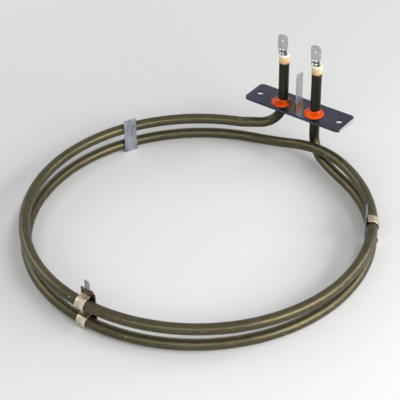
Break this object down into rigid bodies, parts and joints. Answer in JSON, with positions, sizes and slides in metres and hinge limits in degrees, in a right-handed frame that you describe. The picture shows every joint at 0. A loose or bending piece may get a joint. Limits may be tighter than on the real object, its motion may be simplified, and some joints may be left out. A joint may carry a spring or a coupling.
{
  "type": "tubular heating element",
  "caption": "Circular two-turn tubular heating element that lies round a fan, with two legs, blade terminals, an earth tab and a flat mounting plate.",
  "frame": {"origin": "centre of the mounting plate's face on its terminal side, midway between the two fixing holes", "axes": "+Z along the legs to the terminals; +X along the plate from the left leg to the right leg; the coil's axis is parallel to Z at Y = -105.7 mm"},
  "size_m": [0.206, 0.2194, 0.079],
  "materials": {
    "sheath_steel": "heat-tinted satin stainless steel",
    "plate_steel": "satin, greyed by heat",
    "clip_steel": "satin",
    "blade_steel": "bright nickel-plated steel",
    "pin_steel": "satin",
    "bush_ceramic": "matt",
    "bead_sealant": "glossy",
    "seal_resin": "matt"
  },
  "bodies": {
    "root": {"sheath": "sheath_steel", "mounting_plate": "plate_steel", "earth_tab": "blade_steel", "left_terminal_pin": "pin_steel", "left_end_seal": "seal_resin", "left_insulating_bush": "bush_ceramic", "left_blade_terminal": "blade_steel", "left_seal_bead": "bead_sealant", "right_terminal_pin": "pin_steel", "right_end_seal": "seal_resin", "right_insulating_bush": "bush_ceramic", "right_blade_terminal": "blade_steel", "right_seal_bead": "bead_sealant", "rear_clip_plate": "clip_steel", "rear_clip_hooks": "clip_steel", "right_clip_plate": "clip_steel", "right_clip_hooks": "clip_steel", "front_clip_plate": "clip_steel", "front_clip_hooks": "clip_steel"}
  },
  "joints": []
}
